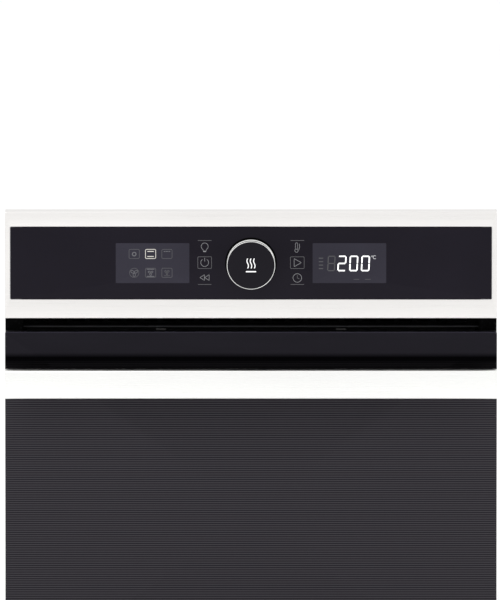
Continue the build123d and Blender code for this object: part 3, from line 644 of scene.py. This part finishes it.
def solid_sign(outline, x, z):
    """Filled convex sign on the control glass."""
    points = shifted(outline, GLASS_MID[0] + x, GLASS_MID[2] + z)
    height = sizes().print_height
    return loft([facing(points, 0, GLASS_Y - height, 0), facing(points, 0, GLASS_Y, 0)])


SEGMENTS = {"0": "abcdef", "2": "abged", "8": "abcdefg"}


def digit(sign, x, z, width, height, line):
    """Seven-segment digit, its middle at x, z and leaning by a tenth of its height."""
    w, h, gap = width / 2 - line / 2, height / 2 - line / 2, 0.35 * line
    place = {
        "a": ((-w + gap, h), (w - gap, h)),
        "b": ((w, h - gap), (w, gap)),
        "c": ((w, -gap), (w, -h + gap)),
        "d": ((w - gap, -h), (-w + gap, -h)),
        "e": ((-w, -h + gap), (-w, -gap)),
        "f": ((-w, gap), (-w, h - gap)),
        "g": ((-w + gap, 0), (w - gap, 0)),
    }
    parts = []
    for key in SEGMENTS[sign]:
        points = np.array(place[key], dtype=float)
        points[:, 0] += points[:, 1] * 0.05
        parts.append(sign_line(shifted(points, x, z), line))
    return parts


def add_sign(name, parts, finish, base, glow):
    """Piece on the control glass from a sign's parts, with its light print."""
    add_piece(name, together(parts), "casing", light_print(finish, base, glow))


# ---- Operators --------------------------------------------------------------------------------------
class OVEN_OT_control_panel(bpy.types.Operator):
    """Folded steel panel with its opening, and the black control glass in it"""

    bl_idname = "oven.control_panel"
    bl_label = "Control panel"

    def execute(self, context):
        size = sizes()
        wide, high = PANEL_HIGH[0] - PANEL_LOW[0], PANEL_HIGH[2] - PANEL_LOW[2]
        front, back = PANEL_LOW[1], PANEL_LOW[1] + PANEL_DEPTH
        glass_w, glass_h = GLASS_HIGH[0] - GLASS_LOW[0], GLASS_HIGH[2] - GLASS_LOW[2]
        x, z = PANEL_MID[0], PANEL_MID[2]
        wall, slit = PANEL_WALL, 0.25 * MM

        def outer(inset, y):
            return facing(rounded(wide - 2 * inset, high - 2 * inset, 1.6 * MM), x, y, z)

        def opening(grow, y):
            outline = rounded(glass_w + 2 * (slit + grow), glass_h + 2 * (slit + grow), 1.4 * MM)
            return facing(outline, x, y, GLASS_MID[2])

        rings = [outer(0, back)]
        rings += [outer(inset, front + depth) for inset, depth in reversed(quarter(size.steel_edge, 6))]
        rings += [opening(inset, front + depth) for inset, depth in quarter(0.5 * MM)]
        rings += [opening(0, front + wall), outer(wall, front + wall), outer(wall, back)]
        panel = loft(rings, loop_rows=True, caps=False)
        steel = brushed_steel("panel_steel", colours().steel, 0.24, 0.38, contrast=0.04)
        leg = (z, front + LEG_START, back + LEG_REACH, 0.2 * MM)
        legs = [rounded_plate(wall, LEG_HEIGHT, 0.3 * MM, side * LEG_X, *leg) for side in (-1, 1)]
        panel = together([panel, *legs])
        add_piece("control_panel", panel, "casing", steel, ["fascia_panel"])

        glass = rounded_plate(
            glass_w, glass_h, 1.2 * MM, x, GLASS_MID[2], GLASS_Y, GLASS_HIGH[1], size.edge
        )
        finish = black_glass("control_glass_print", colours().glass)
        add_piece("control_glass_pane", glass, "casing", finish, ["control_glass"])
        return {"FINISHED"}


class OVEN_OT_displays(bpy.types.Operator):
    """Two display windows with their lit and unlit signs"""

    bl_idname = "oven.displays"
    bl_label = "Displays"

    def execute(self, context):
        self.windows()
        self.functions()
        self.temperature()
        return {"FINISHED"}

    def windows(self):
        """Two panes that stand a hair proud of the control glass."""
        finish = black_glass("display_window", colours().display, 0.2)
        for name, side in (("left", -1), ("right", 1)):
            pane = rounded_plate(
                *DISPLAY_SIZE, 1.0 * MM, GLASS_MID[0] + side * DISPLAY_X, GLASS_MID[2],
                GLASS_Y - 0.03 * MM, GLASS_Y + 0.3 * MM, 0.02 * MM,
            )
            add_piece(f"{name}_display_window", pane, "casing", finish)

    def functions(self):
        """Six cooking functions in two rows, the middle one of the upper row lit."""
        step_x, step_z = ICON_PITCH
        x0, top, low = -DISPLAY_X - 2.4 * MM, step_z / 2 - 0.3 * MM, -step_z / 2 - 0.3 * MM
        w, h, corner = *ICON_SIZE, 1.6 * MM
        lit = [box_sign(x0, top, w, h, corner, 0.7 * MM)]
        lit += bars(x0, top, (-3.9, 3.1, 3.9, 3.1), (-3.9, -3.1, 3.9, -3.1), width=0.9 * MM)
        thin = 0.5 * MM
        dim = [ring_sign(x0 - step_x, top - 0.2 * MM, 2.2 * MM, 1.0 * MM)]
        dashes = ((-3.9, 3.1, -1.7, 3.1), (-1.1, 3.1, 1.1, 3.1), (1.7, 3.1, 3.9, 3.1))
        dim += bars(x0 + step_x, top, *dashes, width=0.8 * MM)
        dim += fan_sign(x0 - step_x, low, 4.6 * MM)
        dim += fan_sign(x0, low, 3.2 * MM)
        dim += bars(x0, low, (-4.6, 4.4, 4.6, 4.4), (-4.6, -4.4, 4.6, -4.4), width=0.8 * MM)
        places = ((x0 - step_x, top), (x0 + step_x, top), (x0, low), (x0 + step_x, low))
        faint = [box_sign(x, z, w, h, corner, thin) for x, z in places]
        faint.append(ring_sign(x0 - step_x, low, 5.6 * MM, thin))
        faint += fan_sign(x0 + step_x, low + 0.8 * MM, 3.0 * MM)
        faint += bars(x0 + step_x, low, (-3.4, -3.6, 3.4, -3.6), width=thin)
        add_sign("function_lit", lit, "lit_sign", (0.52, 0.50, 0.455), 0.4)
        # The unlit function signs glow faintly: painted light, as no lamp is behind them.
        add_sign("function_signs", dim, "dim_sign", colours().dim, 0.1)
        add_sign("function_faint", faint, "faint_sign", tone(colours().dim, 0.65), 0.05)

    def temperature(self):
        """Lit digits for the temperature, the degree mark and the unlit segments beside them."""
        size = sizes()
        shape = (size.digit_w, size.digit_h, size.digit_line)
        lit = []
        for k, sign in enumerate("002"):
            lit += digit(sign, LAST_DIGIT_X - k * size.digit_pitch, DIGIT_Z, *shape)
        unit_x = LAST_DIGIT_X + 8.0 * MM
        unit = [ring_sign(unit_x, 8.4 * MM, 0.7 * MM, 0.45 * MM)]
        unit.append(sign_line(shifted(arc(1.9 * MM, 50, 310), unit_x + 3.2 * MM, 7.2 * MM), 0.6 * MM))
        faint = digit("8", 97.2 * MM, DIGIT_Z, 9.3 * MM, size.digit_h, 1.2 * MM)
        for k in range(4):
            faint += bars(84.6 * MM, (6 - 4.2 * k) * MM, (-2.6, 0, 2.6, 0), width=1.2 * MM)
        for x in (127.5, 141.3):
            faint += bars(x * MM, -19.8 * MM, (-3.4, 0, 3.4, 0), width=0.7 * MM)
        add_sign("temperature_unit", unit, "lit_unit", (0.5, 0.5, 0.52), 0.3)
        add_sign("temperature_digits", lit, "lit_digit", colours().lit, 1.0)
        add_sign("temperature_faint", faint, "faint_digit", tone(colours().dim, 0.45), 0.0)


class OVEN_OT_touch_keys(bpy.types.Operator):
    """Printed symbols of the touch keys on both sides of the knob"""

    bl_idname = "oven.touch_keys"
    bl_label = "Touch keys"

    def execute(self, context):
        top, middle, low = KEY_ROWS
        frames, parts = [], []
        for x in (-KEY_X, KEY_X):
            frames += bars(x, 27.6 * MM, (-8.2, 0, 8.2, 0))
            frames += bars(x, -26.0 * MM, (-8.2, 0, 8.2, 0))
            frames.append(box_sign(x, middle, *KEY_SIZE, 1.2 * MM))
        parts += self.lamp(-KEY_X, top)
        parts += self.power(-KEY_X, middle)
        parts += self.back(-KEY_X, low)
        parts += self.thermometer(KEY_X, top)
        parts += self.start(KEY_X, middle)
        parts.append(ring_sign(KEY_X, CLOCK_Z, 5.2 * MM))
        frames += bars(KEY_X, CLOCK_Z, (0, 0, 0, 3.4), (0, 0, 2.6, -1.2))
        # The printed key symbols and frames glow a little: painted light, as they are print with no lamp
        # behind them.
        add_sign("touch_key_symbols", parts, "key_print", colours().key, 0.08)
        add_sign("touch_key_frames", frames, "key_frame_print", tone(colours().key, 0.45), 0.03)
        return {"FINISHED"}

    def lamp(self, x, z):
        """Bulb: most of a circle, drawn in to a small solid base."""
        glass = arc(4.2 * MM, -62, 242, 48)
        parts = [sign_line(shifted(glass, x, z + 1.2 * MM))]
        parts += bars(x, z, (-2.0, -2.6, -1.6, -4.2), (2.0, -2.6, 1.6, -4.2))
        parts.append(solid_sign(rounded(3.4 * MM, 1.4 * MM, 0.4 * MM), x, z - 4.9 * MM))
        return parts

    def power(self, x, z):
        """Circle open at the top, with a bar in the opening."""
        parts = [sign_line(shifted(arc(4.7 * MM, 125, 415, 48), x, z))]
        return parts + bars(x, z, (0, 1.4, 0, 6.0))

    def back(self, x, z):
        """Two hollow triangles that point left."""
        parts = []
        for tip in (-5.7, 0.0):
            corners = shifted(np.array([(tip, 0.0), (tip + 5.4, 3.5), (tip + 5.4, -3.5)]) * MM, x, z)
            parts += [sign_line(corners[[k, (k + 1) % 3]]) for k in range(3)]
        return parts

    def thermometer(self, x, z):
        """Stem and bulb, with a bent line beside them."""
        x -= 1.0 * MM
        stem = rounded(2.6 * MM, 8.0 * MM, 1.2 * MM)
        parts = [sign_line(shifted(stem, x, z + 1.6 * MM), 0.45 * MM, True)]
        parts.append(ring_sign(x, z - 4.0 * MM, 2.0 * MM, 0.5 * MM))
        return parts + bars(x, z, (3.4, 4.4, 3.8, 1.0), (3.8, 1.0, 2.8, -3.2), width=0.5 * MM)

    def start(self, x, z):
        """Hollow triangle that points right."""
        corners = shifted(np.array([(-3.8, 5.0), (4.8, 0.0), (-3.8, -5.0)]) * MM, x, z)
        return [sign_line(corners[[k, (k + 1) % 3]]) for k in range(3)]


class OVEN_OT_knob(bpy.types.Operator):
    """Turning knob: chrome rim, black disc and skirt, heat mark and the fixed seat behind"""

    bl_idname = "oven.knob"
    bl_label = "Knob"

    def execute(self, context):
        count = sizes().round_steps
        x, z = KNOB_MID[0], KNOB_MID[2]
        front = KNOB_LOW[1]
        outer = KNOB_RADIUS - 0.75 * MM
        inner, groove = outer - 0.75 * MM, outer - 1.6 * MM
        lip_back, flare = front + 1.2 * MM, front + 15.6 * MM
        skirt_back = spot("knob_cap")[1][1]
        edge = 0.3 * MM
        lip = [(outer - inset, front + depth) for inset, depth in reversed(quarter(edge, 5))]
        lip += [(inner + inset, front + depth) for inset, depth in quarter(0.2 * MM, 4)]
        lip += [(inner, lip_back), (outer, lip_back)]
        shell_r, shell_back = outer - 0.1 * MM, skirt_back - 0.3 * MM
        shell = [(shell_r, shell_back), (shell_r, flare + 1.0 * MM), (groove + 0.6 * MM, flare)]
        shell += [(groove - 0.1 * MM, flare), (groove - 0.1 * MM, shell_back)]
        chrome = plain_metal("knob_chrome", (0.82, 0.82, 0.81), 0.10, 0.18, 40.0, 0.06, 0.01)
        rim = together([turned(lip, x, z, count), turned(shell, x, z, count)])
        add_piece("knob_rim", rim, "knob", chrome, ["knob_ring"])

        disc_r, disc_y = inner - 0.06 * MM, front + 0.55 * MM
        bore_r, bore_end = 15.05 * MM, front + 5 * MM
        profile = [(DISC_CENTRE, disc_y), (disc_r * 0.5, disc_y), (disc_r - 0.3 * MM, disc_y)]
        profile += [(disc_r, disc_y + 0.3 * MM), (disc_r, lip_back + 0.1 * MM)]
        profile += [(groove, lip_back + 0.1 * MM)]
        profile += [(groove, skirt_back - 0.5 * MM), (groove - 0.5 * MM, skirt_back)]
        profile += [(bore_r + 0.4 * MM, skirt_back), (bore_r, skirt_back - 0.4 * MM)]
        profile += [(bore_r, bore_end), (DISC_CENTRE, bore_end)]
        cap = turned_solid(profile, x, z, count)
        black = black_glass("knob_black", (0.0050, 0.0046, 0.0064), 0.15)
        add_piece("knob_disc", cap, "knob", black, ["knob_cap"])
        self.mark(x, z, disc_y)

        seat_low, seat_high = spot("knob_collar")[:2]
        seat_r, seat_y = (seat_high[0] - seat_low[0]) / 2, GLASS_Y - 2.3 * MM
        boss_r, boss_y, stem_r, stem_end = 15 * MM, seat_low[1], 9.8 * MM, GLASS_Y + 8 * MM
        profile = [(DISC_CENTRE, boss_y), (boss_r - 0.4 * MM, boss_y), (boss_r, boss_y + 0.4 * MM)]
        profile += [(boss_r, seat_y), (seat_r - 0.8 * MM, seat_y)]
        profile += [(seat_r - 0.2 * MM, seat_y + 0.3 * MM), (seat_r, seat_y + 0.9 * MM)]
        profile += [(seat_r, GLASS_Y), (stem_r, GLASS_Y), (stem_r, stem_end), (DISC_CENTRE, stem_end)]
        seat = turned_solid(profile, x, z, count)
        matt = moulded("knob_seat_black", (0.0006, 0.0006, 0.0006), 0.5, 0.7, 1200.0, 0.05, 0.1, 0.02)
        add_piece("knob_seat", seat, "casing", matt, ["knob_collar"])
        return {"FINISHED"}

    def mark(self, x, z, y):
        """Three rising heat waves over a bar: x = a sin(2 pi t), z = t, for t over one wave."""
        t = np.linspace(0, 1, 24)
        height = sizes().print_height
        parts = []
        for k in (-1, 0, 1):
            wave = np.stack([0.9 * np.sin(2 * pi * t) + 4.0 * k, 12.0 * t - 3.6], axis=1) * MM
            parts.append(ribbon(shifted(wave, x, z), 1.1 * MM, y, height))
        bar = np.array([(-6.2, -7.6), (6.2, -7.6)]) * MM
        parts.append(ribbon(shifted(bar, x, z), 1.4 * MM, y, height))
        # The printed heat mark glows: painted light, as nothing lights it from behind.
        finish = light_print("knob_mark", (0.85, 0.85, 0.85), 0.35)
        add_piece("knob_heat_mark", together(parts), "knob", finish)


class OVEN_OT_handle(bpy.types.Operator):
    """Full-width handle bar and its two posts"""

    bl_idname = "oven.handle"
    bl_label = "Handle"

    def execute(self, context):
        size = sizes()
        deep, high = HANDLE_HIGH[1] - HANDLE_LOW[1], HANDLE_HIGH[2] - HANDLE_LOW[2]

        def section(inset, x):
            """Ring of the bar across its length, at a given inset."""
            corner = max(size.handle_edge - inset, 0.3 * MM)
            ring = rounded(deep - 2 * inset, high - 2 * inset, corner, 10)
            return np.stack(
                [np.full(len(ring), x), HANDLE_MID[1] + ring[:, 0], HANDLE_MID[2] + ring[:, 1]], axis=1
            )

        end = quarter(0.6 * MM)
        rings = [section(inset, HANDLE_LOW[0] + depth) for inset, depth in end]
        rings += [section(inset, HANDLE_HIGH[0] - depth) for inset, depth in reversed(end)]
        grain = (5.0, 1400.0, 1400.0)
        steel = brushed_steel("handle_steel", colours().handle, 0.22, 0.32, grain, 0.03, 0.05)
        add_piece("handle_rail", loft(rings), "door", steel, ["handle_bar"])

        posts = brushed_steel("post_steel", tone(colours().steel, 0.85), 0.3, 0.4)
        for side in ("left", "right"):
            mount = f"{side}_handle_mount"
            low, top, mid = spot(mount)
            wide, tall = top[0] - low[0], top[2] - low[2]
            post = rounded_plate(wide, tall, 5 * MM, mid[0], mid[2], low[1], DOOR_LOW[1], 0.4 * MM)
            add_piece(f"{side}_handle_post", post, "door", posts, [mount])
        return {"FINISHED"}


class OVEN_OT_door_panes(bpy.types.Operator):
    """The door's lined outer pane and the printed border of its inner pane"""

    bl_idname = "oven.door_panes"
    bl_label = "Door panes"

    def execute(self, context):
        size = sizes()
        pane = rounded_plate(
            DOOR_HIGH[0] - DOOR_LOW[0], DOOR_HIGH[2] - DOOR_LOW[2], 1.5 * MM, DOOR_MID[0], DOOR_MID[2],
            DOOR_LOW[1], DOOR_HIGH[1], size.edge,
        )
        add_piece("door_front_pane", pane, "door", lined_glass(), ["door_outer_glass"])

        low, high, mid = spot("door_inner_glass")
        wide, tall = high[0] - low[0], high[2] - low[2]
        border = size.border
        y_front, y_back = low[1] - 0.1 * MM, low[1] - 0.02 * MM

        def ring(inset, y, corner):
            return facing(rounded(wide - 2 * inset, tall - 2 * inset, corner), mid[0], y, mid[2])

        rings = [ring(0.4 * MM, y_front, 3 * MM), ring(border, y_front, 14 * MM)]
        rings += [ring(border, y_back, 14 * MM), ring(0.4 * MM, y_back, 3 * MM)]
        frit = loft(rings, loop_rows=True, caps=False)
        finish = black_glass("pane_border_print", (0.004, 0.004, 0.004), 0.4)
        add_piece("inner_pane_border", frit, "door", finish)
        return {"FINISHED"}


class OVEN_OT_finishes(bpy.types.Operator):
    """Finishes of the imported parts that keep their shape"""

    bl_idname = "oven.finishes"
    bl_label = "Finishes"

    def execute(self, context):
        chrome = plain_metal("chrome_wire", (0.78, 0.78, 0.80), 0.08, 0.2, 50.0, 0.06, 0.02)
        zinc = zinc_sheet()
        enamel = speckled_enamel("cavity_enamel", (0.022, 0.022, 0.025), (0.30, 0.31, 0.33))
        frame_enamel = speckled_enamel(
            "frame_enamel", (0.0010, 0.0010, 0.0011), (0.014, 0.014, 0.015), 0.35, 0.5, 0.68, 0.015
        )
        matt = moulded("matt_black", (0.0022, 0.0021, 0.0024), 0.45, 0.6, 1400.0, 0.08, 0.15, 0.10)
        gap = moulded("outlet_black", (0.0018, 0.0016, 0.0018), 0.5, 0.7, 1400.0, 0.05, 0.15, 0.06)
        steel = plain_metal("bright_zinc", (0.60, 0.60, 0.58), 0.28, 0.45, 80.0, 0.12, 0.08)
        dark = plain_metal("motor_steel", (0.30, 0.30, 0.31), 0.35, 0.55, 60.0, 0.15, 0.1)
        tray = speckled_enamel("tray_enamel", (0.016, 0.016, 0.020), (0.22, 0.22, 0.25), 0.16, 0.26)
        rubber = moulded("seal_rubber", (0.035, 0.034, 0.034), 0.6, 0.8, 1800.0, 0.3, 0.2, 0.3)
        finishes = {
            "chrome_wire": chrome,
            "galvanised_sheet": zinc,
            "grey_enamel": enamel,
            "frame_enamel": frame_enamel,
            "black_paint": gap,
            "tray_enamel": tray,
            "glass_wool": glass_wool(),
            "seal_rubber": rubber,
            "heater_tube": heater_sheath(),
            "zinc_steel": steel,
            "fan_steel": dark,
            "blower_aluminium": plain_metal("blower_aluminium", (0.72, 0.73, 0.75), 0.3, 0.45),
            "motor_body": dark,
            "ceramic_holder": moulded("ceramic_holder", (0.78, 0.75, 0.68), 0.4, 0.6, 700.0, 0.15),
            "circuit_board": circuit_board(),
            "display_module": moulded("display_module", (0.08, 0.08, 0.09), 0.3, 0.5),
            "terminal_plastic": moulded("terminal_plastic", (0.70, 0.69, 0.65), 0.4, 0.55),
            "door_profile": matt,
            "clear_glass": clear_glass("clear_pane"),
            "stainless_fittings": steel,
        }
        parts = frame["record"]["subparts"]
        by_node = {part["node"]: finishes.get(part["material_slot"]) for part in parts}
        # The air duct and partition plate are galvanised sheet in the record. Here they take the black
        # outlet paint as painted shade, so the recess behind the air gap reads dark.
        by_node |= {"air_outlet_grille": outlet_paint(), "air_duct": gap, "partition_plate": gap}
        for name, finish in by_node.items():
            if finish is None:  # a node that a new piece replaces
                continue
            for slot in frame["nodes"][name].material_slots:
                slot.material = finish
        return {"FINISHED"}


class OVEN_OT_stage(bpy.types.Operator):
    """Pale floor, soft studio light and the camera"""

    bl_idname = "oven.stage"
    bl_label = "Stage"

    def execute(self, context):
        self.floor(context)
        self.world(context)
        self.lights(context)
        self.camera(context)
        context.scene.view_settings.view_transform = "Standard"
        return {"FINISHED"}

    def floor(self, context):
        """Round pale floor: rings of growing radius in one plane."""
        rings = [facing(circle(radius, 96), 0, 0, 0)[:, [0, 2, 1]] for radius in (0.5, 2.0, 10.0, 80.0)]
        verts, faces = loft(rings)
        verts[:, 2] = CAD_BOX[0][2] - 0.0005
        mesh = bpy.data.meshes.new("floor")
        keep = [f for f in faces if len(rings) * 96 + 1 not in f]
        mesh.from_pydata(verts.tolist(), [], keep)
        material, tree, shader, coords = new_finish("floor_paper")
        cloud = noise(tree, coords, 3.0, 3.0)
        feed(tree, shader, colour=ramp(tree, cloud, (0.3, 0.93), (0.7, 0.95)))
        feed(tree, shader, rough=ramp(tree, cloud, (0.3, 0.8), (0.7, 0.9)))
        mesh.materials.append(material)
        floor = bpy.data.objects.new("floor", mesh)
        context.scene.collection.objects.link(floor)

    def world(self, context):
        """Even white surroundings."""
        world = bpy.data.worlds.new("studio")
        world.use_nodes = True
        tree = world.node_tree
        background = tree.nodes["Background"]
        background.inputs["Color"].default_value = (1.0, 1.0, 1.0, 1.0)
        background.inputs["Strength"].default_value = 1.08
        context.scene.world = world

    def lights(self, context):
        """Three soft round lamps: key at the left, fill at the right and one above the back."""
        aim = np.array([0.0, 0.0, 0.3])
        plan = (
            ("key", (-1.8, -2.6, 2.6), 2.4, 26.0),
            ("fill", (2.6, -1.6, 1.6), 2.0, 12.0),
            ("back", (0.4, 1.6, 3.6), 2.0, 5.0),
        )
        for name, place, size, power in plan:
            light = bpy.data.lights.new(name, "AREA")
            light.shape = "DISK"
            light.size = size
            light.energy = power
            lamp = bpy.data.objects.new(name, light)
            lamp.location = place
            lamp.rotation_euler = look(aim - np.array(place))
            lamp.visible_camera = False
            context.scene.collection.objects.link(lamp)

    def camera(self, context):
        """Long lens from far off, aimed so that the control panel fills the frame's width."""
        down = radians(CAMERA_DOWN)
        lens = bpy.data.cameras.new("camera")
        lens.lens = lens.sensor_width * CAMERA_DISTANCE / FRAME_HEIGHT
        lens.clip_end = 400.0
        camera = bpy.data.objects.new("camera", lens)
        away = np.array([0.0, -cos(down), sin(down)])
        camera.location = np.array(CAMERA_AIM) + away * CAMERA_DISTANCE
        camera.rotation_euler = look(-away)
        context.scene.collection.objects.link(camera)
        context.scene.camera = camera


def look(direction):
    """Euler turn that points an object's -z along a direction, with its top up."""
    return Vector(direction.tolist()).to_track_quat("-Z", "Y").to_euler()


class OVEN_PT_panel(bpy.types.Panel):
    """Lists the oven's pieces, sizes and colours"""

    bl_idname = "OVEN_PT_panel"
    bl_label = "Oven"
    bl_space_type = "VIEW_3D"
    bl_region_type = "UI"
    bl_category = "Oven"

    def draw(self, context):
        for operator in OPERATORS:
            self.layout.operator(operator.bl_idname)
        for group in (context.scene.oven_sizes, context.scene.oven_colours):
            column = self.layout.column()
            for name in group.__annotations__:
                column.prop(group, name)


OPERATORS = (
    OVEN_OT_finishes,
    OVEN_OT_control_panel,
    OVEN_OT_displays,
    OVEN_OT_touch_keys,
    OVEN_OT_knob,
    OVEN_OT_handle,
    OVEN_OT_door_panes,
    OVEN_OT_stage,
)
CLASSES = (OvenSizes, OvenColours, *OPERATORS, OVEN_PT_panel)


def register():
    """Registers the classes and hangs their sizes and colours on the scene."""
    for cls in CLASSES:
        bpy.utils.register_class(cls)
    bpy.types.Scene.oven_sizes = PointerProperty(type=OvenSizes)
    bpy.types.Scene.oven_colours = PointerProperty(type=OvenColours)


def unregister():
    """Undoes what register did."""
    del bpy.types.Scene.oven_colours
    del bpy.types.Scene.oven_sizes
    for cls in reversed(CLASSES):
        bpy.utils.unregister_class(cls)


def main():
    """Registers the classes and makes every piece."""
    register()
    for operator in OPERATORS:
        space, name = operator.bl_idname.split(".")
        getattr(getattr(bpy.ops, space), name)()


if __name__ == "__main__":
    main()
